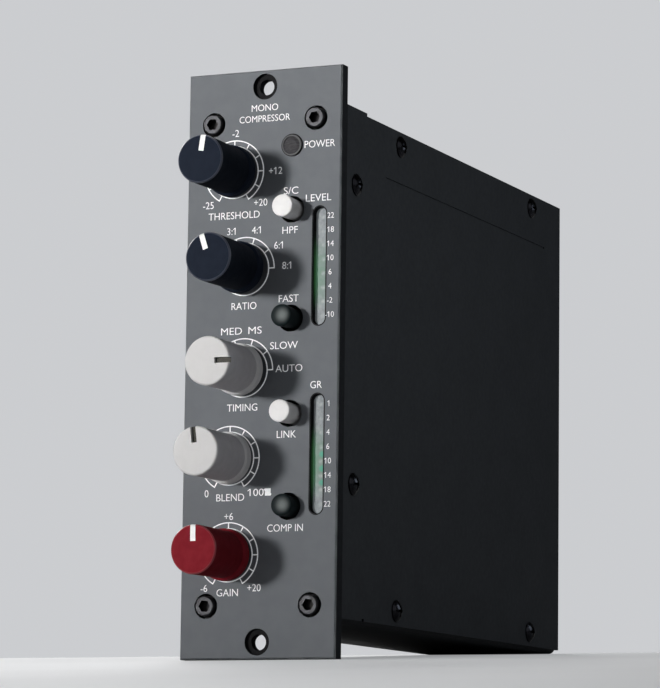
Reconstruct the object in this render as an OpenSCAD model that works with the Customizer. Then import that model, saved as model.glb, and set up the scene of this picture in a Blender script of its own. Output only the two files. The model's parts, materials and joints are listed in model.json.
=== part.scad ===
// Single-width rack compressor module: a thick front panel, a folded sheet-metal case with a
// screwed side cover, five knobs, four push buttons, two slot meters and the boards inside.
// X runs to the right seen from the front, Y from the front to the back, Z up.
// The origin is the middle of the panel's back face, midway between the two rack screw holes.

/* [Front panel] */
// Width of the panel, one slot of the rack
panel_w = 38.1; // [37.8:0.05:38.4]
// Height of the panel, three rack units
panel_h = 133.35; // [132.5:0.05:134]
// Thickness of the panel
panel_t = 3.2; // [3:0.1:3.6]
// Width of the bevel around the panel's front edges
panel_bevel = 0.35; // [0.2:0.05:0.6]
// Distance between the two rack screw holes
rack_pitch = 125.73; // [125:0.01:126]
// Radius of the rack screw holes
rack_hole_r = 1.8; // [1.6:0.05:2]
// Radius of the counterbore around a rack screw hole
rack_counter_r = 3; // [2.8:0.1:3.4]

/* [Case] */
// Depth of the case behind the panel
case_d = 140.1; // [136:0.1:146]
// Height of the case
case_h = 117; // [116.5:0.1:118]
// Thickness of the sheet metal
sheet = 1; // [0.9:0.05:1.1]
// Outer radius of the folds
fold_r = 1.5; // [1.3:0.1:2]
// Width of the flanges that the side cover lies on
flange_w = 9; // [8:0.5:10]

/* [Knobs] */
// Radius of a knob at its face
knob_r = 5.5; // [5.4:0.05:5.6]
// Length of a knob
knob_len = 16.6; // [16:0.1:16.8]
// Radius of the skirt at the foot of a knob
skirt_r = 5.9; // [5.8:0.05:6.2]
// Width of the pointer
pointer_w = 1.25; // [1:0.05:1.5]
// Length of the pointer, inwards from the rim
pointer_len = 3.7; // [3:0.1:4.2]
// Radius of the control shafts
shaft_r = 3; // [2.9:0.05:3]

/* [Buttons] */
// Radius of a button cap
cap_r = 2.55; // [2.4:0.05:2.6]
// Radius of the hole that a cap passes through
cap_hole_r = 3.05; // [3:0.05:3.2]
// How far a released button stands out of the panel
cap_out = 5.6; // [5:0.1:6]
// How far a latched button sits below a released one
latch_depth = 1.5; // [1:0.1:1.8]

/* [Meters] */
// Width of a meter slot
slot_w = 3.15; // [3:0.05:3.3]
// Length of a meter slot
slot_len = 26.8; // [26.4:0.1:27.2]
// How deep the light bar lies below the panel's face
bar_recess = 1.4; // [1:0.1:2.5]
// Depth of a light bar
bar_len = 6.3; // [4:0.1:6.6]
// Spacing of the light-emitting diodes
led_pitch = 3.2; // [3.1:0.05:3.3]

/* [Hidden] */
$fn = 64;
eps = 0.01;
gap = 0.05;

// Controls that turn: [x, z, height of the knob's face above the panel, pointer angle].
// The pointer angle is in degrees, clockwise from straight up.
THRESHOLD = [-7.4, 43.5, 18.0, 8];
RATIO = [-4.4, 21.1, 19.3, -18];
TIMING = [-4.4, -2.0, 18.8, 90];
BLEND = [-7.4, -21.75, 17.8, -7];
GAIN = [-7.4, -43.45, 18.0, -1];
KNOBS = [THRESHOLD, RATIO, TIMING, BLEND, GAIN];

// Push buttons: [x, z, how far it is pressed at rest]
SIDECHAIN = [7.1, 34.2, 0];
FAST = [7.1, 9.45, 0];
LINK = [7.1, -12, 0];
COMP_IN = [7.1, -32.8, latch_depth];
BUTTONS = [SIDECHAIN, FAST, LINK, COMP_IN];

METERS = [[13.95, 21.05], [13.95, -21.25]];
led_count = 8;
POWER = [6.95, 48.85];

// Front panel
panel_screw_x = 12.7;
panel_screw_z = 54.77;
PANEL_SCREWS = [for (x = [-1, 1], z = [-1, 1]) [x * panel_screw_x, z * panel_screw_z]];
panel_screw_r = 1.4;
panel_screw_head_r = 2.33;
panel_screw_head_h = 2.9;
panel_screw_proud = 0.9;
panel_counter_r = 2.82;
rack_counter_d = 1;
lens_r = 2.4;
lens_flange_r = 2.6;

// Case: the folded tray reaches from the left wall to the right flanges
case_left = -18.6;
case_right = 17.6;
case_w = case_right - case_left;
case_mid = (case_left + case_right) / 2;
window_z = case_h / 2 - flange_w;
cover_h = case_h - 1.8;
cover_setback = 1.1;
cover_ear_len = 11.2;
cover_ear_h = 0.7;
COVER_SCREWS = [[32.2, 54.1], [118.8, 54.1], [32.2, -54.1], [118.8, -54.1], [6.5, 40.7], [6.5, -27.3]];
cover_screw_r = 1.25;
cover_head_r = 2.55;
cover_head_h = 1.3;

// Control board, parallel to the panel, and the spacers that carry it
board_t = 1.6;
control_y = 11;
control_w = 32.4;
control_h = 112;
spacer_af = 4.6;

// Main board, parallel to the side cover, whose tongue leaves through the back
main_x = -10.8;
main_face = main_x + board_t;
main_y = control_y + board_t;
main_end = case_d - 2;
main_h = 108;
tongue_h = 61.5;
tongue_end = 149.6;
contact_pitch = 3.96;
contact_count = 15;
STANDOFFS = [for (y = [22, 78, 132], z = [-1, 1]) [y, z * 49]];
standoff_r = 2.6;
board_screw_r = 1.2;

// Controls
bush_r = 3.5;
bush_len = 2.2;
nut_af = 8;
nut_h = 1.6;
washer_r = 4.5;
washer_t = 0.4;
knob_bevel = 0.4;
cavity_r = 5;
cavity_d = 4.2;
collet_r = 4;
face_t = 2.4;
plunger_r = 1.6;
switch_front = 4.2;
pin_r = 0.35;

// ---- Shared shapes ----

// Puts a drawing made as seen from the front, with Z towards the viewer, at a place on the
// panel. Z = 0 is the panel's back face.
module facing(place) {
    translate([place[0], 0, place[1]]) rotate([90, 0, 0]) children();
}

// Puts a drawing on the side cover's outer face, with Z pointing outwards
module on_cover(place) {
    translate([case_right + sheet, place[0], place[1]]) rotate([0, 90, 0]) children();
}

// Puts a drawing on the main board's component side, with Z away from the board
module on_main(place) {
    translate([main_face, place[0], place[1]]) rotate([0, 90, 0]) children();
}

module rod(r, low, high) {
    translate([0, 0, low]) cylinder(r = r, h = high - low);
}

module tube(r_out, r_in, low, high) {
    difference() {
        rod(r_out, low, high);
        rod(r_in, low - 1, high + 1);
    }
}

module hex(across_flats, low, high) {
    translate([0, 0, low]) cylinder(r = across_flats / sqrt(3), h = high - low, $fn = 6);
}

module slot(w, len, low, high) {
    span = (len - w) / 2;
    translate([-w / 2, -span, low]) cube([w, 2 * span, high - low]);
    for (end = [-1, 1]) translate([0, end * span, 0]) rod(w / 2, low, high);
}

module block(size) {
    translate([-size[0] / 2, -size[1] / 2, 0]) cube(size);
}

// ---- Front panel ----

// Every hole that the controls need, made larger all round by grow
module control_holes(grow) {
    for (k = KNOBS) facing(k) rod(bush_r + 0.1 + grow, -5, panel_t + 1);
    for (b = BUTTONS) facing(b) rod(cap_hole_r + grow, -5, panel_t + 1);
    for (m = METERS) facing(m) slot(slot_w + 2 * grow, slot_len + 2 * grow, -5, panel_t + 1);
    facing(POWER) rod(lens_r + 0.1 + grow, -5, panel_t + 1);
}

// The slab with its four front edges bevelled
module panel_slab() {
    difference() {
        translate([-panel_w / 2, -panel_t, -panel_h / 2]) cube([panel_w, panel_t, panel_h]);
        for (side = [-1, 1]) {
            translate([side * panel_w / 2, -panel_t, 0]) rotate([0, 0, 45])
                cube([panel_bevel * sqrt(2), panel_bevel * sqrt(2), panel_h + 2], center = true);
            translate([0, -panel_t, side * panel_h / 2]) rotate([45, 0, 0])
                cube([panel_w + 2, panel_bevel * sqrt(2), panel_bevel * sqrt(2)], center = true);
        }
    }
}

module front_panel() {
    color("dimgray") difference() {
        panel_slab();
        control_holes(0);
        for (end = [-1, 1]) facing([0, end * rack_pitch / 2]) {
            rod(rack_hole_r, -1, panel_t + 1);
            rod(rack_counter_r, panel_t - rack_counter_d, panel_t + 1);
        }
        for (p = PANEL_SCREWS) facing(p) {
            rod(panel_screw_r + 0.1, -1, panel_t + 1);
            rod(panel_counter_r, panel_t + panel_screw_proud - panel_screw_head_h, panel_t + 1);
        }
    }
}

// Socket-head cap screws that tie the panel and the tray to the spacers
module panel_screws() {
    top = panel_t + panel_screw_proud;
    seat = top - panel_screw_head_h;
    rim = 0.3;
    color("silver") for (p = PANEL_SCREWS) facing(p) difference() {
        union() {
            rotate_extrude() polygon([
                [0, seat], [panel_screw_head_r, seat], [panel_screw_head_r, top - rim],
                [panel_screw_head_r - rim, top], [0, top]
            ]);
            rod(panel_screw_r, -5.5, seat + eps);
        }
        hex(2.4, top - 1.9, top + 1);
    }
}

// ---- Case ----

// Cross-section of the folded tray, seen from the front: a rectangle with round corners
module case_section(inset) {
    w = case_w - 2 * inset;
    h = case_h - 2 * inset;
    r = fold_r - inset;
    translate([case_mid, 0]) {
        square([w - 2 * r, h], center = true);
        square([w, h - 2 * r], center = true);
        for (x = [-1, 1], z = [-1, 1]) translate([x * (w / 2 - r), z * (h / 2 - r)]) circle(r = r);
    }
}

module case_block(inset, y_low, y_high) {
    translate([0, y_high, 0]) rotate([90, 0, 0])
        linear_extrude(height = y_high - y_low) case_section(inset);
}

module chassis_tray() {
    tongue_gap = 1;
    color("#1c1f24") difference() {
        case_block(0, 0, case_d);
        case_block(sheet, sheet, case_d - sheet);
        // Open right side, framed by the flanges
        translate([case_right - 2 * sheet, flange_w, -window_z])
            cube([4 * sheet, case_d - 2 * flange_w, 2 * window_z]);
        control_holes(0.2);
        for (p = PANEL_SCREWS) facing(p) rod(panel_screw_r + 0.1, -2, 1);
        for (s = COVER_SCREWS) on_cover(s) rod(cover_screw_r + 0.02, -3 * sheet, 0);
        // Way out for the tongue
        translate([main_x - tongue_gap, case_d - 3, -tongue_h / 2 - tongue_gap])
            cube([board_t + 2 * tongue_gap, 5, tongue_h + 2 * tongue_gap]);
    }
}

module side_cover() {
    bead_z = 45.3;
    bead_low = 23.6;
    bead_high = 128.4;
    bead_w = 0.4;
    bead_d = 0.25;
    relief = 1.2;
    color("#1c1f24") difference() {
        union() {
            translate([case_right, cover_setback, -cover_h / 2])
                cube([sheet, case_d - cover_setback, cover_h]);
            // Raised ear at the front of the top edge
            translate([case_right, cover_setback, cover_h / 2 - 1])
                cube([sheet, cover_ear_len, 1 + cover_ear_h]);
        }
        for (s = COVER_SCREWS) on_cover(s) rod(cover_screw_r + 0.2, -2 * sheet, 1);
        // Shallow pressed line below the top edge
        translate([case_right + sheet - bead_d, bead_low, bead_z - bead_w / 2])
            cube([1, bead_high - bead_low, bead_w]);
        // Relief notch at the front of the bottom edge
        translate([case_right - 1, cover_setback + cover_ear_len, -cover_h / 2 - 1])
            cube([3, relief, 1 + relief / 2]);
    }
}

module cross_recess(size, depth) {
    for (turn = [0, 90]) rotate([0, 0, turn])
        translate([-size / 2, -0.3, -depth]) cube([size, 0.6, depth + 2]);
}

module cover_screws() {
    dome_r = 3.6;
    color("#17181b") for (s = COVER_SCREWS) on_cover(s) difference() {
        union() {
            intersection() {
                rod(cover_head_r, 0, cover_head_h);
                translate([0, 0, cover_head_h - dome_r]) sphere(r = dome_r);
            }
            rod(cover_screw_r, -4, eps);
        }
        translate([0, 0, cover_head_h]) cross_recess(2.8, 0.9);
    }
}

// ---- Boards ----

module panel_spacers() {
    color("gold") for (p = PANEL_SCREWS) facing(p) difference() {
        hex(spacer_af, -control_y, -sheet);
        rod(panel_screw_r + 0.01, -6, 0);
        rod(board_screw_r + 0.01, -control_y - 1, -7);
    }
}

module control_board() {
    color("darkgreen") difference() {
        translate([-control_w / 2, control_y, -control_h / 2]) cube([control_w, board_t, control_h]);
        for (p = PANEL_SCREWS) facing(p) rod(board_screw_r + 0.15, -control_y - 3, 0);
    }
}

module main_board() {
    color("darkgreen") difference() {
        union() {
            translate([main_x, main_y, -main_h / 2]) cube([board_t, main_end - main_y, main_h]);
            translate([main_x, main_end - 1, -tongue_h / 2])
                cube([board_t, tongue_end - main_end + 1, tongue_h]);
        }
        for (s = STANDOFFS) on_main(s) rod(board_screw_r + 0.15, -5, 1);
    }
}

// Gold fingers on both faces of the tongue
module edge_contacts() {
    contact_w = 2.4;
    contact_len = 8;
    contact_t = 0.1;
    color("gold") for (i = [0:contact_count - 1], x = [main_x - contact_t, main_face])
        translate([x, tongue_end - contact_len - 0.6,
                   (i - (contact_count - 1) / 2) * contact_pitch - contact_w / 2])
            cube([contact_t, contact_len, contact_w]);
}

// Right-angle connector between the two boards
module board_link_header() {
    color("black") translate([main_face, main_y, -26]) cube([2.6, 8.6, 52]);
}

module board_standoffs() {
    wall = case_left + sheet;
    color("silver") for (s = STANDOFFS)
        translate([wall, s[0], s[1]]) rotate([0, 90, 0])
            tube(standoff_r, board_screw_r + 0.01, 0, main_x - wall);
}

module board_screw() {
    rod(1.9, 0, 1.5);
    rod(board_screw_r, -4.5, eps);
}

module board_screws() {
    color("silver") {
        for (s = STANDOFFS) on_main(s) board_screw();
        for (p = PANEL_SCREWS) facing(p) translate([0, 0, -control_y - board_t])
            rotate([180, 0, 0]) board_screw();
    }
}

// ---- Controls behind the panel ----

// Threaded bush with the bore that the shaft turns in
module bush() {
    rod(bush_r, -sheet - 1, panel_t + bush_len);
}

module shaft_bore() {
    rod(shaft_r + gap + eps, -6.5, panel_t + bush_len + 1);
}

// Small square potentiometer with its row of pins to the control board
module rotary_control(place) {
    body_back = -8;
    facing(place) {
        difference() {
            union() {
                translate([-4.8, -5.7, body_back]) cube([9.6, 11.4, -sheet - body_back]);
                bush();
            }
            shaft_bore();
        }
        for (x = [-2.5, 0, 2.5]) translate([x, -4.8, 0]) rod(pin_r, -control_y, body_back + eps);
    }
}

// Round six-position switch with its ring of pins to the control board
module stepped_switch(place) {
    body_back = -9;
    facing(place) {
        difference() {
            union() {
                rod(6, body_back, -sheet);
                bush();
            }
            shaft_bore();
        }
        for (i = [0:6]) rotate([0, 0, i * 360 / 7]) translate([4.6, 0, 0])
            rod(pin_r, -control_y, body_back + eps);
    }
}

module threshold_control() { color("#3a4a3c") rotary_control(THRESHOLD); }
module ratio_switch() { color("#26303a") stepped_switch(RATIO); }
module timing_switch() { color("#26303a") stepped_switch(TIMING); }
module blend_control() { color("#3a4a3c") rotary_control(BLEND); }
module gain_control() { color("#3a4a3c") rotary_control(GAIN); }

module control_washers() {
    color("silver") for (k = KNOBS) facing(k)
        tube(washer_r, bush_r + gap, panel_t, panel_t + washer_t);
}

module control_nuts() {
    low = panel_t + washer_t;
    color("silver") for (k = KNOBS) facing(k) difference() {
        hex(nut_af, low, low + nut_h);
        rod(bush_r + 0.02, 0, 10);
    }
}

// Square push-switch bodies with a flanged foot on the control board
module button_switches() {
    color("#202226") for (b = BUTTONS) facing(b) difference() {
        union() {
            translate([0, 0, -control_y]) block([7, 7, control_y - switch_front]);
            translate([0, 0, -control_y]) block([8.2, 8.2, 1.2]);
        }
        rod(plunger_r + gap, -10.8, 0);
    }
}

// ---- Meters and lamps ----

module meter_light_bars() {
    color("#b9c8bd") for (m = METERS) facing(m)
        slot(slot_w - 0.2, slot_len - 0.2, panel_t - bar_recess - bar_len, panel_t - bar_recess);
}

module indicator_leds() {
    leds = concat([POWER], [for (m = METERS, i = [0:led_count - 1])
        [m[0], m[1] + (i - (led_count - 1) / 2) * led_pitch]]);
    color("#d8e6d0") for (p = leds) facing(p) translate([0, 0, -control_y]) {
        block([2, 1.6, 1.1]);
        rod(0.6, 1, 1.9);
    }
}

module power_lens() {
    dish_r = 1.95;
    color("#4a4a50") facing(POWER) difference() {
        union() {
            rod(lens_r, -8.8, panel_t + eps);
            rod(lens_flange_r, panel_t, panel_t + 0.5);
        }
        tube(dish_r + 0.12, dish_r - 0.12, panel_t + 0.3, panel_t + 1);
    }
}

// ---- Components on the main board ----

module input_transformer() {
    can_r = 10;
    can_h = 22;
    color("gray") on_main([104, 30]) rotate_extrude() polygon([
        [0, 0], [can_r, 0], [can_r, can_h - 1], [can_r - 1, can_h], [0, can_h]
    ]);
}

module output_transformer() {
    color("#3b3f46") on_main([106, -28]) {
        block([28, 24, 20]);
        translate([0, 0, 3]) block([20, 31, 14]);
    }
}

// Cans that stand on the board, with a pressed groove near the foot
module electrolytic_capacitors() {
    can_r = 4;
    can_h = 12;
    color("#20304a") for (y = [32, 44, 56], z = [-40, -28]) on_main([y, z]) {
        rod(can_r, 0, 1.2);
        rod(can_r - 0.35, 1, 2);
        rod(can_r, 1.8, can_h);
    }
}

module film_capacitors() {
    color("crimson") for (i = [0:5]) on_main([30 + i * 7, 42]) block([7.2, 3.2, 8]);
}

module amplifier_chips() {
    color("#151515") for (y = [34, 50, 66], z = [8, 24]) on_main([y, z]) {
        translate([0, 0, 0.6]) block([6.4, 9.6, 3.2]);
        for (row = [-1, 1], i = [0:3]) translate([row * 3.6, (i - 1.5) * 2.54, 0])
            block([0.9, 0.6, 2.2]);
    }
}

module bridge_diodes() {
    color("#c8783c") for (i = [0:3]) on_main([34 + i * 4, -6]) {
        translate([-2, 0, 1.2]) rotate([0, 90, 0]) cylinder(r = 1, h = 4);
        translate([-4.2, 0, 1.2]) rotate([0, 90, 0]) cylinder(r = 0.3, h = 8.4);
        for (end = [-1, 1]) translate([end * 4, 0, 0]) rod(0.3, 0, 1.2);
    }
}

module relays() {
    color("#e6e2d2") for (z = [-36, -18, 0]) on_main([76, z]) block([7.4, 14, 9]);
}

module trimmers() {
    color("#2c56a8") for (z = [-20, -10, 0]) on_main([60, z]) difference() {
        block([6.6, 6.6, 4.8]);
        translate([0, 0, 4]) rod(1.4, 0, 2);
    }
}

// ---- Knobs ----

function knob_top(k) = panel_t + k[2];
function knob_foot(k) = knob_top(k) - knob_len;

// Outside of a knob as a profile from its axis: face, bevel, tapered side and skirt
function knob_outside(k) = [
    [0, knob_top(k)], [knob_r - knob_bevel, knob_top(k)], [knob_r, knob_top(k) - knob_bevel],
    [knob_r - 0.15, knob_foot(k) + 2.1], [skirt_r - 0.1, knob_foot(k) + 1.5],
    [skirt_r, knob_foot(k) + 1.3], [skirt_r, knob_foot(k)]
];

// Hollow that clears the nut, and the socket for the collet
function knob_inside(k) = [
    [cavity_r, knob_foot(k)], [cavity_r, knob_foot(k) + cavity_d],
    [collet_r, knob_foot(k) + cavity_d], [collet_r, knob_top(k) - face_t],
    [0, knob_top(k) - face_t]
];

// The pointer's strip of the face, from its inner end out past the rim
module pointer_strip(k, low, high) {
    rotate([0, 0, -k[3]]) translate([-pointer_w / 2, knob_r - pointer_len, knob_top(k) + low])
        cube([pointer_w, pointer_len + 2, high - low]);
}

module knob(k, pointer_depth) {
    facing(k) difference() {
        rotate_extrude() polygon(concat(knob_outside(k), knob_inside(k)));
        pointer_strip(k, -pointer_depth, 1);
    }
}

// Inlay that fills the pointer's groove from its floor up to the given level
module pointer(k, low, high) {
    facing(k) intersection() {
        pointer_strip(k, low, high);
        rotate_extrude() polygon(concat(knob_outside(k), [[0, knob_foot(k)]]));
    }
}

// Split brass sleeve that grips the shaft
module collet(k) {
    low = knob_foot(k) + cavity_d;
    high = knob_top(k) - face_t;
    color("goldenrod") facing(k) difference() {
        tube(collet_r, shaft_r, low, high);
        translate([-0.3, -5, low - 1]) cube([0.6, 10, 6]);
    }
}

module shaft(k) {
    color("silver") facing(k) rod(shaft_r, -6.2, knob_top(k) - face_t - 0.4);
}

// A filled pointer ends flush with the face; an engraved one keeps a thin dark floor
fill_d = 0.5;
groove_d = 0.9;
floor_t = 0.1;

module threshold_knob() { color("#222a3c") knob(THRESHOLD, fill_d); }
module threshold_pointer() { color("white") pointer(THRESHOLD, -fill_d, 1); }
module threshold_collet() { collet(THRESHOLD); }
module threshold_shaft() { shaft(THRESHOLD); }

module ratio_knob() { color("#222a3c") knob(RATIO, fill_d); }
module ratio_pointer() { color("white") pointer(RATIO, -fill_d, 1); }
module ratio_collet() { collet(RATIO); }
module ratio_shaft() { shaft(RATIO); }

module timing_knob() { color("#dcdcda") knob(TIMING, groove_d); }
module timing_pointer() { color("#3a3a36") pointer(TIMING, -groove_d, floor_t - groove_d); }
module timing_collet() { collet(TIMING); }
module timing_shaft() { shaft(TIMING); }

module blend_knob() { color("#dcdcda") knob(BLEND, groove_d); }
module blend_pointer() { color("#3a3a36") pointer(BLEND, -groove_d, floor_t - groove_d); }
module blend_collet() { collet(BLEND); }
module blend_shaft() { shaft(BLEND); }

module gain_knob() { color("#8c2636") knob(GAIN, fill_d); }
module gain_pointer() { color("white") pointer(GAIN, -fill_d, 1); }
module gain_collet() { collet(GAIN); }
module gain_shaft() { shaft(GAIN); }

// ---- Buttons ----

function cap_top(b) = panel_t + cap_out - b[2];
cap_len = 9.4;
plunger_top = 3.5;
plunger_len = 13.3;

module cap(b) {
    top = cap_top(b);
    facing(b) rotate_extrude() polygon([
        [0, top], [cap_r - 0.55, top], [cap_r - 0.15, top - 0.15], [cap_r, top - 0.5],
        [cap_r, top - cap_len], [plunger_r, top - cap_len], [plunger_r, top - plunger_top],
        [0, top - plunger_top]
    ]);
}

module plunger(b) {
    high = cap_top(b) - plunger_top;
    color("#303030") facing(b) rod(plunger_r, high - plunger_len, high);
}

module sidechain_cap() { color("white") cap(SIDECHAIN); }
module sidechain_plunger() { plunger(SIDECHAIN); }
module fast_cap() { color("#50565a") cap(FAST); }
module fast_plunger() { plunger(FAST); }
module link_cap() { color("white") cap(LINK); }
module link_plunger() { plunger(LINK); }
module comp_in_cap() { color("#50565a") cap(COMP_IN); }
module comp_in_plunger() { plunger(COMP_IN); }

front_panel();
panel_screws();
chassis_tray();
side_cover();
cover_screws();
panel_spacers();
control_board();
main_board();
edge_contacts();
board_link_header();
board_standoffs();
board_screws();
threshold_control();
ratio_switch();
timing_switch();
blend_control();
gain_control();
control_washers();
control_nuts();
button_switches();
meter_light_bars();
indicator_leds();
power_lens();
input_transformer();
output_transformer();
electrolytic_capacitors();
film_capacitors();
amplifier_chips();
bridge_diodes();
relays();
trimmers();
threshold_knob();
threshold_pointer();
threshold_collet();
threshold_shaft();
ratio_knob();
ratio_pointer();
ratio_collet();
ratio_shaft();
timing_knob();
timing_pointer();
timing_collet();
timing_shaft();
blend_knob();
blend_pointer();
blend_collet();
blend_shaft();
gain_knob();
gain_pointer();
gain_collet();
gain_shaft();
sidechain_cap();
sidechain_plunger();
fast_cap();
fast_plunger();
link_cap();
link_plunger();
comp_in_cap();
comp_in_plunger();
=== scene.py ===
"""Looks for the single-width rack compressor module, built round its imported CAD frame.

X runs to the right seen from the front, Y from the front to the back, Z up, in metres.
The origin is the middle of the front panel's back face. A height h is a distance from that
face towards the viewer, so it lies at y = -h.
"""
import json
import math

import bmesh
import bpy
from mathutils import Euler, Matrix, Vector


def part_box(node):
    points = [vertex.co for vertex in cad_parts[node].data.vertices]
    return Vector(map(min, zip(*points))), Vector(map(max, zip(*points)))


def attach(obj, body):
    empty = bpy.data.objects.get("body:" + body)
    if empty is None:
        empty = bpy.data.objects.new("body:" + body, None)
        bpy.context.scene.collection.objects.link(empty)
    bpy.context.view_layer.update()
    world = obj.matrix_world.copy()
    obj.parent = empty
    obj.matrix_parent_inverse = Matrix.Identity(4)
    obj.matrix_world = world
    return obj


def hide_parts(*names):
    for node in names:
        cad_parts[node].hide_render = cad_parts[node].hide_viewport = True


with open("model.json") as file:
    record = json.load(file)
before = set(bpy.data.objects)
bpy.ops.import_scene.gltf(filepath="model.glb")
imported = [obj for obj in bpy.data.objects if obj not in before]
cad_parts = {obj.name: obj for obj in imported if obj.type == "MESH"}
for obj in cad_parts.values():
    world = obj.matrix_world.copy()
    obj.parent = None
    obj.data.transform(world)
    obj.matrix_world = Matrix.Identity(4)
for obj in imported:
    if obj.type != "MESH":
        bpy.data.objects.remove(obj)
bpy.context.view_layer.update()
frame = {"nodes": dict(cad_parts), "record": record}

MM = 0.001
scene = bpy.context.scene
panel_low, panel_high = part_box("front_panel")
PANEL_FACE = -panel_low.y / MM

# All sizes and places below are in mm.
PANEL_BEVEL = 0.35
PRINT_T = 0.03          # thickness of the ink
PRINT_GAP = 0.002       # between the panel and the ink's underside
KNOB_R, KNOB_LEN, SKIRT_R = 5.5, 16.6, 5.9
POINTER_W, POINTER_LEN = 1.25, 3.7
CAP_R, CAP_TAIL_R, CAP_STEM_R, CAP_OUT = 2.55, 2.3, 1.6, 5.6
METER_X, LEVEL_Z, REDUCTION_Z = 13.95, 21.05, -21.25
LED_PITCH = 3.2
SCREW_X, SCREW_Z, SOCKET_REACH = 12.7, 54.77, 1.45

# x, z, height of the knob's face over the panel, pointer angle clockwise from up
KNOBS = {
    "threshold": (-7.4, 43.5, 18.0, 8),
    "ratio": (-4.4, 21.1, 19.3, -18),
    "timing": (-4.4, -2.0, 18.8, 90),
    "blend": (-7.4, -21.75, 17.8, -7),
    "gain": (-7.4, -43.45, 18.0, -1),
}


# ---- Camera, floor, light ----

def add_camera():
    camera = bpy.data.objects.new("camera", bpy.data.cameras.new("camera"))
    scene.collection.objects.link(camera)
    camera.data.lens = 183.96
    camera.data.sensor_width = 36
    aim = Euler((math.radians(90 + 7.831), 0, math.radians(23.887))).to_matrix()
    roll = Matrix.Rotation(math.radians(0.7306), 3, "Z")
    camera.matrix_world = (Matrix.Translation((0.330778, -0.712020, -0.103445))
                           @ (aim @ roll).to_4x4())
    scene.camera = camera


def add_light(name, place, target, size, power, tint, spread=180):
    data = bpy.data.lights.new(name, "AREA")
    data.spread = math.radians(spread)
    data.shape = "DISK"
    data.size = size
    data.energy = power
    data.color = tint
    lamp = bpy.data.objects.new(name, data)
    scene.collection.objects.link(lamp)
    lamp.location = place
    lamp.rotation_euler = (Vector(place) - Vector(target)).to_track_quat("Z", "Y").to_euler()
    lamp.visible_camera = False


def add_world():
    """Pale backdrop for the camera, and a dimmer even light for everything else."""
    world = bpy.data.worlds.new("studio")
    world.use_nodes = True
    scene.world = world
    nodes, links = world.node_tree.nodes, world.node_tree.links
    shown = nodes["Background"]
    shown.inputs["Color"].default_value = (0.60, 0.61, 0.63, 1)
    ambient = nodes.new("ShaderNodeBackground")
    ambient.inputs["Color"].default_value = (0.95, 0.97, 1.0, 1)
    ambient.inputs["Strength"].default_value = 0.016
    rays = nodes.new("ShaderNodeLightPath")
    mix = nodes.new("ShaderNodeMixShader")
    links.new(rays.outputs["Is Camera Ray"], mix.inputs[0])
    links.new(ambient.outputs[0], mix.inputs[1])
    links.new(shown.outputs[0], mix.inputs[2])
    links.new(mix.outputs[0], nodes["World Output"].inputs["Surface"])


def add_floor():
    """The module stands on the lower edges of its panel and of its case's back, so the floor
    slopes under it. Behind the case it levels out."""
    foot = panel_low.z
    slope = (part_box("side_cover")[0].z - 0.9 * MM - foot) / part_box("chassis_tray")[1].y
    crest, soft, reach = 0.168, 0.05, 4.0
    line = [(-reach, foot - slope * reach)]
    steps = 12
    for i in range(steps + 1):
        share = i / steps
        line.append((crest + soft * i / steps,
                     foot + slope * (crest + soft * (share - share ** 2 / 2))))
    line.append((reach, line[-1][1]))
    bm = bmesh.new()
    rows = [[bm.verts.new((x, y, z)) for x in (-reach, reach)] for y, z in line]
    for a, b in zip(rows, rows[1:]):
        bm.faces.new((a[0], a[1], b[1], b[0]))
    floor = new_piece("floor", bm, 30)
    floor.data.materials.append(MATERIALS["floor"])


# ---- Materials ----

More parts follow.
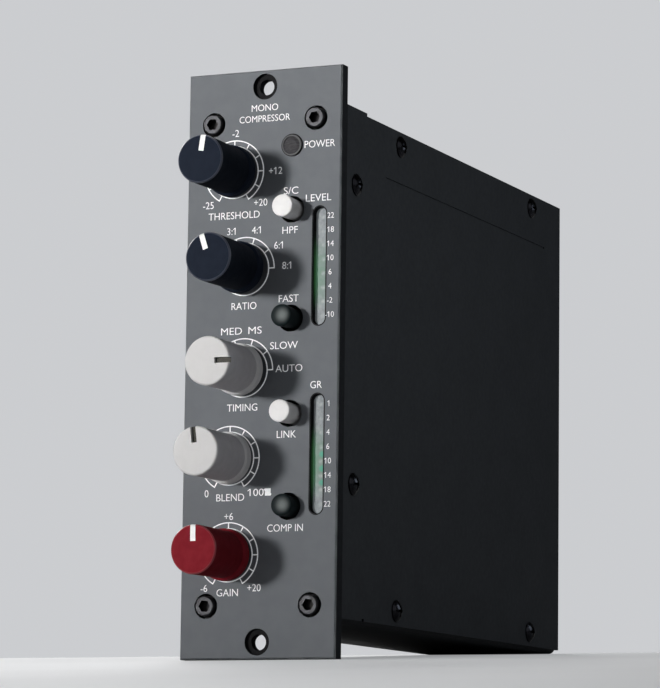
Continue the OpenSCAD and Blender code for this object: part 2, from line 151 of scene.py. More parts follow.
class Recipe:
    """A material under construction: its node tree, its shader and a few shorthands."""

    def __init__(self, name, rough, metallic=0.0, specular=0.5, coat=0.0, coat_rough=0.1):
        self.material = bpy.data.materials.new(name)
        self.material.use_nodes = True
        self.tree = self.material.node_tree
        self.shader = self.tree.nodes["Principled BSDF"]
        self.set(Roughness=rough, Metallic=metallic)
        self.shader.inputs["Specular IOR Level"].default_value = specular
        self.shader.inputs["Coat Weight"].default_value = coat
        self.shader.inputs["Coat Roughness"].default_value = coat_rough
        self.place = self.tree.nodes.new("ShaderNodeTexCoord").outputs["Object"]

    def set(self, **values):
        for key, value in values.items():
            self.shader.inputs[key.replace("_", " ")].default_value = value

    def link(self, source, target):
        self.tree.links.new(source, self.shader.inputs[target])

    def node(self, kind, *inputs, **settings):
        """A node of that kind; each input is a socket to link or a value to set."""
        made = self.tree.nodes.new("ShaderNode" + kind)
        for key, value in settings.items():
            setattr(made, key, value)
        for slot, value in enumerate(inputs):
            if isinstance(value, bpy.types.NodeSocket):
                self.tree.links.new(value, made.inputs[slot])
            elif value is not None:
                made.inputs[slot].default_value = value
        return made

    def math(self, operation, *inputs):
        return self.node("Math", *inputs, operation=operation).outputs[0]

    def noise(self, scale, detail=3.0, roughness=0.5, stretch=None):
        place = self.place
        if stretch:
            place = self.node("Mapping", place).outputs[0]
            place.node.inputs["Scale"].default_value = stretch
        made = self.node("TexNoise", place)
        made.inputs["Scale"].default_value = scale
        made.inputs["Detail"].default_value = detail
        made.inputs["Roughness"].default_value = roughness
        return made.outputs[0]

    def remap(self, source, low, high, to_low, to_high, smooth=True):
        made = self.node("MapRange", source, low, high, to_low, to_high)
        made.interpolation_type = "SMOOTHSTEP" if smooth else "LINEAR"
        return made.outputs[0]

    def mix(self, share, a, b):
        made = self.tree.nodes.new("ShaderNodeMix")
        made.data_type = "RGBA"
        for socket, value in ((made.inputs[0], share), (made.inputs[6], a), (made.inputs[7], b)):
            if isinstance(value, bpy.types.NodeSocket):
                self.tree.links.new(value, socket)
            else:
                socket.default_value = value if isinstance(value, float) else (*value, 1)
        return made.outputs[2]

    def colour(self, dark, light, grain, detail=4.0):
        self.link(self.mix(self.remap(self.noise(grain, detail), 0.3, 0.7, 0, 1), dark, light),
                  "Base Color")

    def uneven_gloss(self, low, high, grain, detail=3.0):
        self.link(self.remap(self.noise(grain, detail), 0.3, 0.7, low, high), "Roughness")

    def bump(self, source, depth, strength=1.0):
        """Depth in mm."""
        made = self.tree.nodes.new("ShaderNodeBump")
        made.inputs["Strength"].default_value = strength
        made.inputs["Distance"].default_value = depth * MM
        self.tree.links.new(source, made.inputs["Height"])
        self.link(made.outputs[0], "Normal")


def painted(name, dark, light, rough, grain=260, skin=2200, skin_depth=0.006, **extra):
    """Sprayed or powder-coated metal: even colour, fine orange peel, patchy gloss."""
    r = Recipe(name, rough, **extra)
    r.colour(dark, light, grain)
    r.uneven_gloss(rough - 0.02, rough + 0.03, 700)
    r.bump(r.noise(skin, 2.0), skin_depth)
    return r.material


def moulded(name, dark, light, rough, **extra):
    """Moulded plastic: fine spark-eroded grain and slight mottling."""
    r = Recipe(name, rough, **extra)
    r.colour(dark, light, 500)
    r.uneven_gloss(rough - 0.02, rough + 0.04, 900)
    r.bump(r.noise(5200, 2.0), 0.004)
    return r.material


def metal(name, dark, light, rough, grain=700, stretch=(1, 12, 1), **extra):
    """Machined or drawn metal with fine tool marks across its length."""
    r = Recipe(name, rough, metallic=1.0, **extra)
    lines = r.noise(grain, 4.0, 0.6, stretch)
    r.link(r.mix(r.remap(lines, 0.3, 0.7, 0, 1), dark, light), "Base Color")
    r.link(r.remap(lines, 0.3, 0.7, rough - 0.08, rough + 0.1), "Roughness")
    r.bump(lines, 0.006)
    return r.material


def board_material():
    """Green solder mask over copper tracks in rows."""
    r = Recipe("circuit_board", 0.32, coat=0.3)
    x, y, z = r.node("SeparateXYZ", r.place).outputs
    tracks = r.math("PINGPONG", r.math("ADD", r.math("MULTIPLY", z, 1 / MM), r.noise(60)), 1.27)
    track = r.remap(tracks, 0.25, 0.35, 1, 0)
    green = r.mix(r.remap(r.noise(300), 0.3, 0.7, 0, 1),
                  (0.006, 0.045, 0.016), (0.009, 0.06, 0.022))
    r.link(r.mix(track, green, (0.02, 0.11, 0.035)), "Base Color")
    r.bump(track, 0.03)
    return r.material


def panel_wall_material():
    """Near-black walls and floors of the panel's holes and slots: painted shade. Near the lit
    lamps the meter slots' walls glow green: painted light from the lamps.
    """
    r = Recipe("panel_wall", 0.7, specular=0.1)
    r.colour((0.006, 0.006, 0.007), (0.010, 0.010, 0.011), 900)
    x, y, z = r.node("SeparateXYZ", r.place).outputs
    aside = r.math("ABSOLUTE", r.math("SUBTRACT", x, METER_X * MM))
    inside = r.math("LESS_THAN", aside, 1.7 * MM)
    lit = None
    for middle in (19.8 * MM, -23.6 * MM):
        away = r.math("ABSOLUTE", r.math("SUBTRACT", z, middle))
        one = r.remap(away, 2 * MM, 9.5 * MM, 1, 0)
        lit = one if lit is None else r.math("ADD", lit, one)
    deep = r.remap(y, -2.7 * MM, -1.8 * MM, 0.05, 1)
    # Painted green light from the lit lamps on the meter slots' walls, stronger deeper in.
    glow = r.math("MULTIPLY", r.math("MULTIPLY", inside, lit), deep)
    r.link(r.mix(glow, (0.0, 0.0, 0.0), (0.10, 0.34, 0.12)), "Emission Color")
    r.set(Emission_Strength=0.16)
    return r.material


def light_bar_material(name, patches):
    """Frosted bar: eight pale spots where the lamps lie, green where they are lit, and
    brighter green patches between some lit lamps. The piece's own origin is the middle of
    its front face."""
    r = Recipe(name, 0.5, specular=0.3)
    x, y, z = r.node("SeparateXYZ", r.place).outputs

    def spots(across, up, inner, outer):
        """Round spots at that distance from the middle line, in mm, one for each lamp."""
        turn = r.math("FRACT", r.math("ADD", r.math("DIVIDE", z, LED_PITCH * MM), up))
        along = r.math("MULTIPLY", r.math("SUBTRACT", turn, 0.5), LED_PITCH)
        side = r.math("MULTIPLY", r.math("SUBTRACT", x, across * MM), 1 / MM)
        away = r.math("SQRT", r.math("ADD", r.math("MULTIPLY", along, along),
                                     r.math("MULTIPLY", side, side)))
        return r.remap(away, inner, outer, 1, 0)

    lit = r.remap(r.math("ABSOLUTE", r.math("ADD", z, 1.6 * MM)), 2.5 * MM, 9 * MM, 1, 0)
    frost = r.mix(r.remap(r.noise(620, 6, 0.65), 0.3, 0.7, 0, 1),
                  (0.172, 0.191, 0.204), (0.270, 0.295, 0.308))
    tint = r.math("MULTIPLY", lit, r.remap(r.noise(500, 3), 0.3, 0.7, 0.55, 1))
    surface = r.mix(tint, frost, (0.118, 0.205, 0.160))
    lamp = r.math("MULTIPLY", spots(0.45, 0.0, 0.1, 0.75),
                  r.remap(r.noise(900), 0.35, 0.65, 0.2, 0.6))
    surface = r.mix(lamp, surface, (0.40, 0.42, 0.43))
    if patches:
        near = r.remap(r.math("ABSOLUTE", r.math("ADD", z, 3.0 * MM)), 3.2 * MM, 5.5 * MM, 1, 0)
        patch = r.math("MULTIPLY", spots(0.75, 0.5, 0.35, 1.0), r.math("MULTIPLY", near, 0.8))
        surface = r.mix(patch, surface, (0.045, 0.330, 0.215))
    r.link(surface, "Base Color")
    # The whole bar glows faintly in its own colour: painted light, as if lit through the frost.
    # Its left side glows green where the lamps are lit, which is their light.
    wall_side = r.remap(x, -1.5 * MM, 0.0, 1, 0)
    glow = r.mix(r.math("MULTIPLY", wall_side, lit), surface, (0.13, 0.42, 0.20))
    r.link(glow, "Emission Color")
    r.set(Emission_Strength=0.2)
    r.bump(r.noise(2600, 3), 0.02)
    return r.material


def smoke_cap_material():
    """Smoked clear cap: near black at the rim and paler in the middle, partly the light guide
    seen through the smoke and partly a painted highlight. The piece's own origin is on its axis."""
    r = Recipe("smoke_cap", 0.55, specular=0.07)
    x, y, z = r.node("SeparateXYZ", r.place).outputs
    # The pale middle is shifted 0.5 mm to the right, where the highlight and the core show from
    # the front right: painted highlight.
    x = r.math("SUBTRACT", x, 0.5 * MM)
    spread = r.math("SQRT", r.math("ADD", r.math("MULTIPLY", x, x), r.math("MULTIPLY", z, z)))
    core = r.remap(spread, 0.2 * MM, 2.15 * MM, 1, 0)
    cloud = r.math("MULTIPLY", core, r.remap(r.noise(380), 0.3, 0.7, 0.85, 1))
    r.link(r.mix(cloud, (0.012, 0.018, 0.020), (0.170, 0.188, 0.188)), "Base Color")
    r.bump(r.noise(4200, 2), 0.004)
    return r.material


def lens_material():
    """Dull grey lens: a mottled disc, a paler ring round it and a black outer rim. The
    piece's own origin is on its axis."""
    r = Recipe("lamp_lens", 0.55, specular=0.12)
    x, y, z = r.node("SeparateXYZ", r.place).outputs
    spread = r.math("SQRT", r.math("ADD", r.math("MULTIPLY", x, x), r.math("MULTIPLY", z, z)))
    tone = r.remap(r.noise(900, 5, 0.7, (1, 1, 4)), 0.35, 0.65, 0, 1)
    disc = r.mix(tone, (0.030, 0.029, 0.033), (0.056, 0.055, 0.060))
    ring = r.math("MULTIPLY", r.remap(spread, 1.98 * MM, 2.05 * MM, 0, 1),
                  r.remap(spread, 2.3 * MM, 2.42 * MM, 1, 0))
    rimmed = r.mix(ring, disc, (0.105, 0.107, 0.112))
    r.link(r.mix(r.remap(spread, 2.36 * MM, 2.48 * MM, 0, 1), rimmed, (0.006, 0.006, 0.007)),
           "Base Color")
    r.bump(r.noise(3800, 2), 0.005)
    return r.material


def ink_material():
    """Screen-printed white ink, a little thin and uneven. It also glows faintly: painted light
    that keeps the print bright in shadow.
    """
    r = Recipe("white_ink", 0.55, specular=0.3)
    r.colour((0.68, 0.69, 0.70), (0.82, 0.82, 0.82), 2600)
    r.bump(r.noise(5000, 2), 0.006)
    # The glow is painted light.
    r.set(Emission_Color=(0.8, 0.82, 0.85, 1), Emission_Strength=0.26)
    return r.material


def floor_material():
    """Pale floor. The camera sees it softly lit from below as well, like a light table, but
    it throws little of that light back onto the object."""
    r = Recipe("floor", 0.55, specular=0.2)
    r.colour((0.34, 0.34, 0.338), (0.36, 0.36, 0.358), 3)
    r.uneven_gloss(0.52, 0.58, 8)
    glow = r.node("Emission", (0.95, 0.97, 1.0, 1), 0.30).outputs[0]
    seen = r.node("LightPath").outputs["Is Camera Ray"]
    add = r.node("AddShader", r.shader.outputs[0], glow).outputs[0]
    mix = r.node("MixShader", seen, r.shader.outputs[0], add).outputs[0]
    r.tree.links.new(mix, r.tree.nodes["Material Output"].inputs["Surface"])
    return r.material


MATERIALS = {
    "panel_paint": painted("panel_paint", (0.131, 0.142, 0.157),
                           (0.141, 0.152, 0.167), 0.60, specular=0.2),
    # Near black on the panel's sides and back: painted shade.
    "panel_edge": painted("panel_edge", (0.005, 0.005, 0.007),
                          (0.008, 0.009, 0.011), 0.6, specular=0.12),
    "panel_bevel": painted("panel_bevel", (0.10, 0.11, 0.12), (0.16, 0.17, 0.18), 0.3),
    "panel_wall": panel_wall_material(),
    "case_paint": painted("case_paint", (0.0125, 0.0140, 0.0170), (0.0165, 0.0180, 0.0215), 0.60,
                          grain=140, skin=1100, skin_depth=0.02, specular=0.28),
    "screw_steel": metal("screw_steel", (0.028, 0.029, 0.032), (0.060, 0.060, 0.064), 0.5),
    # Darker than the heads: painted shade in the sockets.
    "screw_socket": metal("screw_socket", (0.010, 0.010, 0.011), (0.030, 0.029, 0.027), 0.6),
    "black_screw": metal("black_screw", (0.015, 0.015, 0.018), (0.03, 0.03, 0.035), 0.22),
    "brass": metal("brass", (0.72, 0.50, 0.17), (0.90, 0.68, 0.30), 0.42),
    "circuit_board": board_material(),
    "black_plastic": moulded("black_plastic", (0.010, 0.010, 0.011), (0.016, 0.016, 0.017), 0.45),
    "component_plastic": moulded("component_plastic", (0.02, 0.03, 0.028),
                                 (0.04, 0.05, 0.045), 0.5),
    "meter_diffuser": light_bar_material("meter_diffuser", False),
    "patchy_diffuser": light_bar_material("patchy_diffuser", True),
    "lamp_resin": moulded("lamp_resin", (0.60, 0.70, 0.55), (0.72, 0.80, 0.66), 0.25),
    "lamp_lens": lens_material(),
    "core_steel": metal("core_steel", (0.10, 0.10, 0.11), (0.22, 0.22, 0.24), 0.45),
    "film_red": moulded("film_red", (0.40, 0.02, 0.03), (0.52, 0.04, 0.05), 0.35),
    "diode_glass": moulded("diode_glass", (0.50, 0.18, 0.06), (0.62, 0.26, 0.10), 0.12),
    "relay_cream": moulded("relay_cream", (0.66, 0.62, 0.50), (0.74, 0.70, 0.58), 0.4),
    "trimmer_blue": moulded("trimmer_blue", (0.02, 0.08, 0.35), (0.03, 0.11, 0.45), 0.35),
    "navy_knob": moulded("navy_knob", (0.0110, 0.0158, 0.0280),
                         (0.0135, 0.0188, 0.0325), 0.68, specular=0.06),
    "grey_knob": moulded("grey_knob", (0.675, 0.67, 0.675),
                         (0.695, 0.69, 0.695), 0.6, specular=0.2),
    "red_knob": moulded("red_knob", (0.225, 0.013, 0.022),
                        (0.255, 0.018, 0.028), 0.68, specular=0.06),
    # Rims: navy and red are lighter than their faces, painted highlight; grey is darker, painted
    # shade.
    "navy_rim": moulded("navy_rim", (0.030, 0.038, 0.060),
                        (0.036, 0.044, 0.070), 0.30, specular=0.6, coat=0.3),
    "grey_rim": moulded("grey_rim", (0.60, 0.595, 0.60), (0.66, 0.655, 0.66), 0.40, specular=0.4),
    "red_rim": moulded("red_rim", (0.27, 0.020, 0.030),
                       (0.30, 0.026, 0.036), 0.30, specular=0.6, coat=0.3),
    # Sides darker than the faces: painted shade.
    "navy_side": moulded("navy_side", (0.0072, 0.0100, 0.0168),
                         (0.0092, 0.0126, 0.0205), 0.7, specular=0.05),
    "grey_side": moulded("grey_side", (0.500, 0.488, 0.508),
                         (0.540, 0.527, 0.548), 0.64, specular=0.15),
    "red_side": moulded("red_side", (0.150, 0.0085, 0.0145),
                        (0.176, 0.011, 0.018), 0.7, specular=0.05),
    "white_inlay": moulded("white_inlay", (0.80, 0.80, 0.80), (0.88, 0.88, 0.88), 0.4),
    "dark_inlay": moulded("dark_inlay", (0.030, 0.028, 0.022),
                          (0.050, 0.047, 0.036), 0.5, specular=0.2),
    "white_cap": moulded("white_cap", (0.79, 0.785, 0.79),
                         (0.84, 0.835, 0.84), 0.44, specular=0.15),
    "smoke_cap": smoke_cap_material(),
    "white_ink": ink_material(),
    "floor": floor_material(),
}


# ---- Making pieces ----

def new_piece(name, bm, sharp=35, origin=None):
    """A smooth-shaded object from bm, with edges sharper than that angle kept crisp."""
    bmesh.ops.recalc_face_normals(bm, faces=bm.faces)
    mesh = bpy.data.meshes.new(name)
    if origin:
        bmesh.ops.translate(bm, verts=bm.verts, vec=-Vector(origin))
    bm.to_mesh(mesh)
    bm.free()
    mesh.shade_smooth()
    mesh.set_sharp_from_angle(angle=math.radians(sharp))
    piece = bpy.data.objects.new(name, mesh)
    scene.collection.objects.link(piece)
    if origin:
        piece.location = origin
    return piece


def dress(piece, body, slot_name, *replaced, material=None):
    piece.data.materials.append(MATERIALS[material or slot_name])
    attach(piece, body)
    if replaced:
        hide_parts(*replaced)
    return piece


def rounded(profile, steps=6):
    """A profile of (radius, height, fillet) corners as (radius, height) points, each corner
    with a fillet turned into an arc."""
    points = []
    for i, (r, h, fillet) in enumerate(profile):
        corner = Vector((r, h))
        if not fillet:
            points.append(corner)
            continue
        before = (Vector(profile[i - 1][:2]) - corner).normalized()
        after = (Vector(profile[i + 1][:2]) - corner).normalized()
        half = before.angle(after) / 2
        centre = corner + (before + after).normalized() * fillet / math.sin(half)
        start = corner + before * fillet / math.tan(half) - centre
        turn = start.angle_signed(corner + after * fillet / math.tan(half) - centre)
        for k in range(steps + 1):
            a = -turn * k / steps
            points.append(centre + Matrix.Rotation(a, 2) @ start)
    return points


def lathe(profile, place, segments=96):
    """Revolves a profile of (radius, height) points, in mm, about the axis through place.
    A profile that ends off the axis closes on itself."""
    bm = bmesh.new()
    x, z = place
    rings = []
    for r, h in profile:
        if r < 1e-6:
            rings.append([bm.verts.new((x * MM, -h * MM, z * MM))])
            continue
        angles = [2 * math.pi * i / segments for i in range(segments)]
        rings.append([bm.verts.new(((x + r * math.cos(a)) * MM, -h * MM,
                                    (z + r * math.sin(a)) * MM)) for a in angles])
    pairs = list(zip(rings, rings[1:]))
    if len(rings[0]) > 1:
        pairs.append((rings[-1], rings[0]))
    for a, b in pairs:
        for i in range(segments):
            j = (i + 1) % segments
            corners = [a[i % len(a)], a[j % len(a)], b[j % len(b)], b[i % len(b)]]
            corners = [c for k, c in enumerate(corners) if c not in corners[:k]]
            if len(corners) > 2:
                bm.faces.new(corners)
    return bm


def boxed(low, high, turn=0, place=(0, 0)):
    """A box between two corners (x, z, height), in mm, turned clockwise in the panel's plane
    and moved to place."""
    bm = bmesh.new()
    bmesh.ops.create_cube(bm, size=1)
    size = [b - a for a, b in zip(low, high)]
    middle = [(a + b) / 2 for a, b in zip(low, high)]
    for v in bm.verts:
        v.co = Vector(((v.co.x * size[0] + middle[0]) * MM,
                       -(v.co.z * size[2] + middle[2]) * MM,
                       (v.co.y * size[1] + middle[1]) * MM))
    bmesh.ops.rotate(bm, verts=bm.verts, cent=(0, 0, 0),
                     matrix=Matrix.Rotation(math.radians(turn), 3, "Y"))
    bmesh.ops.translate(bm, verts=bm.verts, vec=(place[0] * MM, 0, place[1] * MM))
    return bm


def combined(bm, cutter_bm, operation):
    """The exact boolean of two meshes."""
    objects = []
    for part in (bm, cutter_bm):
        bmesh.ops.recalc_face_normals(part, faces=part.faces)
        mesh = bpy.data.meshes.new("working")
        part.to_mesh(mesh)
        part.free()
        objects.append(bpy.data.objects.new("working", mesh))
        scene.collection.objects.link(objects[-1])
    target, cutter = objects
    cut = target.modifiers.new("cut", "BOOLEAN")
    cut.operation, cut.object, cut.solver = operation, cutter, "EXACT"
    made = bmesh.new()
    made.from_object(target, bpy.context.evaluated_depsgraph_get())
    for o in objects:
        mesh = o.data
        bpy.data.objects.remove(o)
        bpy.data.meshes.remove(mesh)
    bmesh.ops.remove_doubles(made, verts=made.verts, dist=1e-7)
    return made


# ---- Knobs ----

def knob_outside(top):
    """Profile of a knob and the height of its foot: a face with a rounded rim, a slightly
    tapered side and a skirt inside the CAD knob's box."""
    foot = top - KNOB_LEN
    return rounded([(0, top, 0), (KNOB_R, top, 0.5), (5.33, foot + 2.1, 0.12),
                    (5.8, foot + 1.7, 0.12), (SKIRT_R, foot, 0)]), foot


def finish_knob(knob, colour):
    """The rounded rim of a knob's face is glossier than the face; on the navy and red knobs it is
    painted lighter, a painted highlight, and on the grey ones darker, painted shade. The side
    between face and skirt is painted darker than both: painted shade. The knob's origin is its
    face."""
    for finish in ("_rim", "_side"):
        knob.data.materials.append(MATERIALS[colour + finish])
    for face in knob.data.polygons:
        out, deep = math.hypot(face.center.x, face.center.z), face.center.y
        # Rim: painted highlight on navy and red, painted shade on grey.
        if out > 4.98 * MM and deep < 0.5 * MM and abs(face.normal.y) < 0.97:
            face.material_index = 1
        # Side: painted shade.
        elif out > 5.05 * MM and 0.5 * MM <= deep < 14.45 * MM:
            face.material_index = 2


def add_knob(name, slot_name, groove, filled):
    """A knob's shell with a groove of that depth for its pointer, and the inlay in it, which
    fills the groove or only lines its bottom."""
    x, z, face, pointer = KNOBS[name]
    top = PANEL_FACE + face
    outside, foot = knob_outside(top)
    inside = [(5.0, foot), (5.0, foot + 4.2), (4.0, foot + 4.2), (4.0, top - 2.4), (0, top - 2.4)]
    strip = ((-POINTER_W / 2, KNOB_R - POINTER_LEN, top - groove), (POINTER_W / 2, 9, top + 1))
    body = combined(lathe(list(outside) + inside, (x, z)),
                    boxed(*strip, turn=pointer, place=(x, z)), "DIFFERENCE")
    axis = (x * MM, -top * MM, z * MM)
    shell = new_piece(name + "_knob_shell", body, 30, axis)
    dress(shell, name + "_dial", slot_name, name + "_knob")
    finish_knob(shell, slot_name.split("_")[0])

    low, high = strip
    high = (high[0], high[1], top + 1 if filled else top - groove + 0.1)
    inlay = combined(lathe(list(outside) + [(0, foot)], (x, z)),
                     boxed(low, high, turn=pointer, place=(x, z)), "INTERSECT")
    dress(new_piece(name + "_pointer_inlay", inlay, 30, axis), name + "_dial",
          "white_inlay" if filled else "dark_inlay", name + "_pointer")


# ---- Buttons, lens and light bars ----

def add_cap(name, slot_name, x, z, pressed):
    """A hollow button cap with a nearly flat face, standing that far below a released one."""
    top = PANEL_FACE + CAP_OUT - pressed
    dome = 0.06
    rim = 0.8 if slot_name == "smoke_cap" else 0.38
    outside = rounded([(0, top, 0), (1.6, top - 0.02, 0), (CAP_R, top - dome, rim),
                       (CAP_TAIL_R, top - 6, 0), (CAP_TAIL_R, top - 9.4, 0),
                       (CAP_STEM_R, top - 9.4, 0), (CAP_STEM_R, top - 3.5, 0), (0, top - 3.5, 0)])
    cap = new_piece(name + "_button_cap", lathe(outside, (x, z), 72), 30,
                    (x * MM, -top * MM, z * MM))
    dress(cap, name + "_button", slot_name, name + "_cap")


def add_power_lens(x, z):
    """Flanged lens: a rounded rim, a groove and a low dome in the middle."""
    base = PANEL_FACE
    profile = rounded([(0, base + 0.42, 0), (1.2, base + 0.36, 0.6), (1.75, base + 0.2, 0.12),
                       (1.95, base + 0.2, 0.06), (2.1, base + 0.48, 0.08), (2.6, base + 0.4, 0.2),
                       (2.6, base, 0), (2.4, base, 0), (2.4, -8.8, 0), (0, -8.8, 0)], 5)
    lens = new_piece("power_lamp_lens", lathe(profile, (x, z), 72), 30,
                     (x * MM, -base * MM, z * MM))
    dress(lens, "chassis", "lamp_lens", "power_lens")


def stadium(width, length, steps=14):
    """Outline of a slot, standing upright, as (x, z) points."""
    r, straight = width / 2, (length - width) / 2
    half_turn = [math.pi * i / steps for i in range(steps + 1)]
    return [(r * math.cos(a), r * math.sin(a) + straight) for a in half_turn] \
        + [(-r * math.cos(a), -r * math.sin(a) - straight) for a in half_turn]


def add_light_bar(name, place):
    """A frosted bar whose front edge is rounded."""
    width, length, front, back = 2.95, 26.6, PANEL_FACE - 1.4, PANEL_FACE - 7.7
    edge = 0.2
    bm = bmesh.new()
    rings = [(0, back)] + [(edge * (1 - math.cos(a)), front - edge * (1 - math.sin(a)))
                           for a in (math.pi / 2 * i / 4 for i in range(5))]
    loops = []
    for inset, h in rings:
        loops.append([bm.verts.new(((place[0] + px) * MM, -h * MM, (place[1] + pz) * MM))
                      for px, pz in stadium(width - 2 * inset, length - 2 * inset)])
    for a, b in zip(loops, loops[1:]):
        for i in range(len(a)):
            j = (i + 1) % len(a)
            bm.faces.new((a[i], a[j], b[j], b[i]))
    bm.faces.new(loops[0])
    bm.faces.new(loops[-1])
    return new_piece(name, bm, 40, (place[0] * MM, -front * MM, place[1] * MM))


# ---- Print on the panel ----

def ribbon(bm, points, width, closed=False):
    """A flat line of ink along points (x, z), in mm, on the panel's face."""
    rims = []
    count = len(points)
    for i, p in enumerate(points):
        p = Vector(p)
        before = Vector(points[i - 1]) if i or closed else None
        after = Vector(points[(i + 1) % count]) if i < count - 1 or closed else None
        along = ((p - before).normalized() if before else Vector((0, 0))) \
            + ((after - p).normalized() if after else Vector((0, 0)))
        side = Vector((-along.y, along.x)).normalized() * width / 2
        rims.append([[bm.verts.new((q.x * MM, -h * MM, q.y * MM))
                      for h in (PANEL_FACE + PRINT_GAP, PANEL_FACE + PRINT_T)]
                     for q in (p + side, p - side)])
    pairs = list(zip(rims, rims[1:])) + ([(rims[-1], rims[0])] if closed else [])
    for (al, ar), (bl, br) in pairs:
        for quad in ((al[1], bl[1], br[1], ar[1]), (al[0], ar[0], br[0], bl[0]),
                     (al[0], bl[0], bl[1], al[1]), (ar[0], ar[1], br[1], br[0])):
            bm.faces.new(quad)
    if not closed:
        for left, right in (rims[0], rims[-1]):
            bm.faces.new((left[0], left[1], right[1], right[0]))


def arc(place, r, start, end, step=3.0):
    """Points on an arc about place, angles clockwise from up."""
    count = max(2, round(abs(end - start) / step))
    return [(place[0] + r * math.sin(math.radians(start + (end - start) * i / count)),
             place[1] + r * math.cos(math.radians(start + (end - start) * i / count)))
            for i in range(count + 1)]


def add_scales():
    """A ring round each knob, an arc outside it and a tick between them for each mark."""
    inner, outer, line, gap = 5.95, 7.3, 0.27, 0.002
    pot_marks = [i * 30 for i in range(-5, 6)]
    switch_marks = [-90, -54, -18, 18, 54, 90]
    bm = bmesh.new()
    for name, (x, z, face, pointer) in KNOBS.items():
        marks = switch_marks if name in ("ratio", "timing") else pot_marks
        ribbon(bm, arc((x, z), inner, 0, 357, 3), line, closed=True)
        trim = math.degrees(line / 2 / outer)
        ribbon(bm, arc((x, z), outer, marks[0] - trim, marks[-1] + trim), line)
        for mark in marks:
            ribbon(bm, [arc((x, z), r, mark, mark + 1)[0]
                        for r in (inner + line / 2 + gap, outer - line / 2 - gap)], line)
    dress(new_piece("scale_prints", bm, 30), "chassis", "white_inlay", material="white_ink")


def add_slot_rims():
    """A thin near-black line on the panel's face round each slot: painted shade along the slots'
    edges.
    """
    bm = bmesh.new()
    for z in (LEVEL_Z, REDUCTION_Z):
        ribbon(bm, [(METER_X + px, z + pz) for px, pz in stadium(3.43, 27.08)], 0.26, closed=True)
    dress(new_piece("slot_rims", bm, 30), "chassis", "panel_paint", material="panel_edge")


# Words and numbers: (text, x, z, width or None for the typeface's own width, height)
TALL, SMALL = 1.6, 1.25
LEGENDS = [
    ("MONO", 0, 58.0, 6.6, 1.5), ("COMPRESSOR", 0, 55.5, 12.6, 1.5),
    ("-2", -7.2, 52.5, None, TALL), ("+12", 2.9, 43.3, None, TALL),
    ("+20", -0.7, 36.25, None, TALL), ("-25", -13.8, 36.25, None, TALL),
    ("-16", -16.75, 43.3, None, TALL), ("THRESHOLD", -7.3, 33.6, 12.8, TALL),
    ("POWER", 13.75, 48.8, 7.5, TALL), ("S/C", 6.8, 38.5, 3.6, TALL),
    ("LEVEL", 13.6, 36.5, 6.25, TALL), ("HPF", 6.7, 29.5, 3.8, TALL),
    ("1.5:1", -15.0, 21.5, None, TALL), ("2:1", -12.7, 26.2, None, TALL),
    ("3:1", -7.9, 29.96, None, TALL), ("4:1", -1.67, 29.96, None, TALL),
    ("6:1", 3.9, 26.2, None, TALL), ("8:1", 6.0, 21.5, None, TALL),
    ("RATIO", -4.46, 12.75, 6.2, TALL), ("FAST", 6.6, 13.96, 4.9, TALL),
    ("FAST", -15.0, -2.0, 4.9, TALL), ("MF", -12.7, 3.4, None, TALL),
    ("MED", -7.46, 7.1, 5.2, TALL), ("MS", -1.6, 7.1, 3.3, TALL),
    ("SLOW", 5.6, 3.4, 6.8, TALL), ("AUTO", 6.9, -1.83, 6.6, TALL),
    ("TIMING", -4.5, -10.3, 7.5, TALL), ("GR", 13.6, -5.8, 2.8, TALL),
    ("LINK", 6.5, -16.67, 4.7, TALL), ("0", -13.0, -29.5, None, TALL),
    ("100%", 0.1, -29.5, 5.8, TALL), ("BLEND", -7.1, -30.5, 6.9, TALL),
    ("+6", -7.4, -34.75, None, TALL), ("COMP IN", 6.5, -37.6, 8.7, TALL),
    ("-6", -13.25, -50.75, None, TALL), ("+20", -0.9, -50.8, None, TALL),
    ("GAIN", -7.46, -51.8, 5.3, TALL),
]
LEVEL_NUMBERS = ("22", "18", "14", "10", "6", "4", "-2", "-10")
REDUCTION_NUMBERS = ("1", "2", "4", "6", "10", "14", "18", "22")
for i, (level, reduction) in enumerate(zip(LEVEL_NUMBERS, REDUCTION_NUMBERS)):
    LEGENDS.append((level, 16.65, 32.3 - LED_PITCH * i, None, SMALL))
    LEGENDS.append((reduction, 16.65, -10.1 - LED_PITCH * i, None, SMALL))


def text_mesh(text):
    """The built-in typeface's flat letters, slightly thinned."""
    curve = bpy.data.curves.new("letters", "FONT")
    curve.body = text
    curve.resolution_u = 4
    curve.offset = -0.004
    letters = bpy.data.objects.new("letters", curve)
    scene.collection.objects.link(letters)
    bpy.context.view_layer.update()
    made = bmesh.new()
    evaluated = letters.evaluated_get(bpy.context.evaluated_depsgraph_get())
    mesh = bpy.data.meshes.new_from_object(evaluated)
    made.from_mesh(mesh)
    bpy.data.objects.remove(letters)
    bpy.data.curves.remove(curve)
    bpy.data.meshes.remove(mesh)
    if "1" in text:
        flag_ones(made)
    return made


def islands(bm):
    """The vertices of each connected part."""
    seen, groups = set(), []
    for start in bm.verts:
        group, queue = [], [start]
        while queue:
            v = queue.pop()
            if v not in seen:
                seen.add(v)
                group.append(v)
                queue += [e.other_vert(v) for e in v.link_edges]
        if group:
            groups.append(group)
    return groups


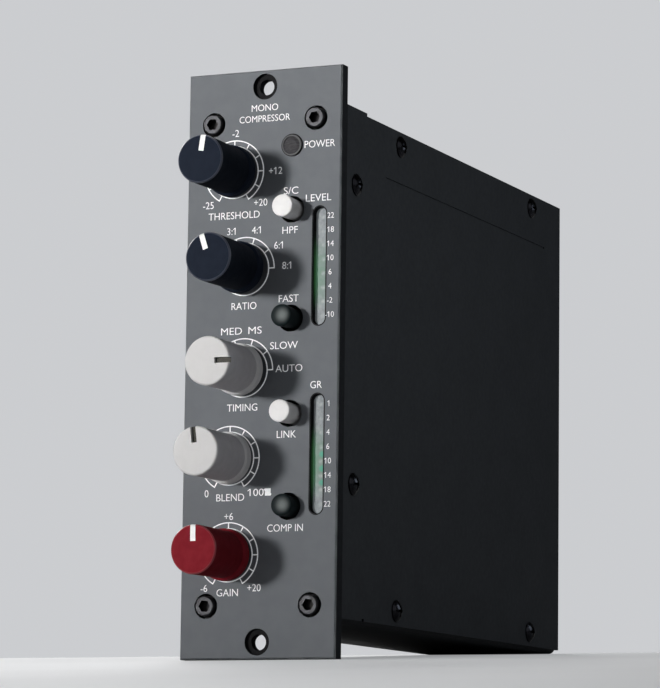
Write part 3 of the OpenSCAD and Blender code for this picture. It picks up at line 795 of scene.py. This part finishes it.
def flag_ones(bm):
    """The built-in typeface's 1 is a plain bar; this draws it again with its flag."""
    capital = span(bm, 1)[1]
    bars = []
    for island in islands(bm):
        xs, ys = [v.co.x for v in island], [v.co.y for v in island]
        if len(island) == 4 and max(ys) - min(ys) > 0.7 * capital:
            bars.append((min(xs), max(xs), min(ys), max(ys), island))
    out, fall, thick = 0.26 * capital, 0.20 * capital, 0.13 * capital
    for x0, x1, y0, y1, island in sorted(bars, key=lambda bar: bar[0]):
        bmesh.ops.delete(bm, geom=island, context="VERTS")
        bm.faces.new([bm.verts.new((x, y, 0)) for x, y in
                      ((x0, y0), (x1, y0), (x1, y1), (x0, y1), (x0 - out, y1 - fall),
                       (x0 - out, y1 - fall - thick), (x0, y1 - thick))])


def span(bm, axis):
    """Lowest and highest coordinate along an axis."""
    values = [v.co[axis] for v in bm.verts]
    return min(values), max(values)


def add_legends():
    """Every word and number as one thin piece of ink."""
    sample = text_mesh("H")
    capital = span(sample, 1)[1]
    sample.free()
    whole = bmesh.new()
    for text, x, z, width, height in LEGENDS:
        letters = text_mesh(text)
        low, high = span(letters, 0)
        up = height / capital
        across = width / (high - low) if width else up * 0.94
        for v in letters.verts:
            v.co = Vector(((x + (v.co.x - (low + high) / 2) * across) * MM,
                           -(PANEL_FACE + PRINT_T) * MM,
                           (z - height / 2 + v.co.y * up) * MM))
        flat = bpy.data.meshes.new("letters")
        letters.to_mesh(flat)
        letters.free()
        whole.from_mesh(flat)
        bpy.data.meshes.remove(flat)
    bmesh.ops.remove_doubles(whole, verts=whole.verts, dist=1e-7)
    bmesh.ops.dissolve_limit(whole, angle_limit=0.002, verts=whole.verts, edges=whole.edges)
    slivers = [face for face in whole.faces if face.calc_area() < 1e-12]
    longest = dict.fromkeys(max(face.edges, key=lambda e: e.calc_length()) for face in slivers)
    bmesh.ops.dissolve_edges(whole, edges=list(longest), use_verts=False)
    down = bmesh.ops.extrude_face_region(whole, geom=list(whole.faces))
    moved = [v for v in down["geom"] if isinstance(v, bmesh.types.BMVert)]
    bmesh.ops.translate(whole, verts=moved, vec=(0, (PRINT_T - PRINT_GAP) * MM, 0))
    dress(new_piece("panel_legends", whole, 30), "chassis", "white_inlay", material="white_ink")


# ---- Finishes of the CAD nodes ----

def finish_cad_nodes():
    """Each CAD node gets the material of its slot."""
    slots = {s["node"]: s["material_slot"] for s in frame["record"]["subparts"]}
    for name, node in frame["nodes"].items():
        node.data.materials.clear()
        node.data.materials.append(MATERIALS[slots[name]])
        node.data.polygons.foreach_set("material_index", [0] * len(node.data.polygons))


def finish_panel():
    """Grey paint on the face, worn paint on the bevels; near black on the sides, the back and in
    the holes, which is painted shade.
    """
    panel = frame["nodes"]["front_panel"]
    mesh = panel.data
    for name in ("panel_edge", "panel_bevel", "panel_wall"):
        mesh.materials.append(MATERIALS[name])
    half_w, half_h = panel_high.x, panel_high.z
    for face in mesh.polygons:
        n, c = face.normal, face.center
        rim = max(abs(c.x) - half_w, abs(c.z) - half_h) > -(PANEL_BEVEL + 0.01) * MM
        if n.y < -0.99 and c.y < (-PANEL_FACE + 0.05) * MM:
            index = 0
        elif rim and -0.8 < n.y < -0.6:
            index = 2
        # The sides and the back: painted shade.
        elif rim or n.y > 0.9:
            index = 1
        # Everything else, the walls and floors of the holes and slots: painted shade.
        else:
            index = 3
        face.material_index = index


def finish_screw_sockets():
    """The hexagon sockets are painted darker and duller than the heads round them: painted shade
    in the recesses.
    """
    mesh = frame["nodes"]["panel_screws"].data
    mesh.materials.append(MATERIALS["screw_socket"])
    top = min(v.co.y for v in mesh.vertices)
    for face in mesh.polygons:
        c = face.center
        out = math.hypot(abs(c.x) - SCREW_X * MM, abs(c.z) - SCREW_Z * MM)
        if out < SOCKET_REACH * MM and c.y > top + 0.1 * MM:
            face.material_index = 1


add_camera()
add_world()
add_floor()
finish_cad_nodes()
finish_panel()
finish_screw_sockets()
add_scales()
add_slot_rims()
add_legends()
add_knob("threshold", "navy_knob", 0.5, True)
add_knob("ratio", "navy_knob", 0.5, True)
add_knob("timing", "grey_knob", 0.9, False)
add_knob("blend", "grey_knob", 0.9, False)
add_knob("gain", "red_knob", 0.5, True)
add_cap("sidechain", "white_cap", 7.1, 34.2, 0)
add_cap("fast", "smoke_cap", 7.1, 9.45, 0)
add_cap("link", "white_cap", 7.1, -12, 0)
add_cap("comp_in", "smoke_cap", 7.1, -32.8, 1.5)
add_power_lens(6.95, 48.85)
level_bar = add_light_bar("level_light_bar", (METER_X, LEVEL_Z))
dress(level_bar, "chassis", "meter_diffuser", "meter_light_bars")
reduction_bar = add_light_bar("reduction_light_bar", (METER_X, REDUCTION_Z))
dress(reduction_bar, "chassis", "meter_diffuser", material="patchy_diffuser")

# name, place, target, diameter, power, tint
add_light("key", (-1.32, -2.74, 0.30), (0, 0, 0.327), 0.46, 2.2, (1.0, 0.985, 0.965), spread=20)
add_light("fill", (-0.12, -1.6, 0.15), (0, 0.02, 0), 0.9, 2.7, (0.95, 0.97, 1.0))
add_light("rim", (-1.1, 0.16, 0.66), (0, -0.01, 0), 0.35, 0.22, (1.0, 1.0, 1.0), spread=30)
add_light("side", (0.32, 0.27, 0.10), (0.02, 0.05, 0), 0.16, 0.19, (0.80, 0.90, 1.0))
add_light("top", (0.0, 0.25, 1.3), (0, 0.06, 0), 0.9, 5.0, (1.0, 1.0, 1.0))
add_light("back", (-0.7, 1.1, 0.6), (0, 0.1, 0), 0.7, 5, (1.0, 1.0, 1.0))
add_light("right", (1.3, -0.15, 0.45), (0, 0.02, 0), 0.9, 1.2, (0.96, 0.98, 1.0))

scene.view_settings.view_transform = "Standard"
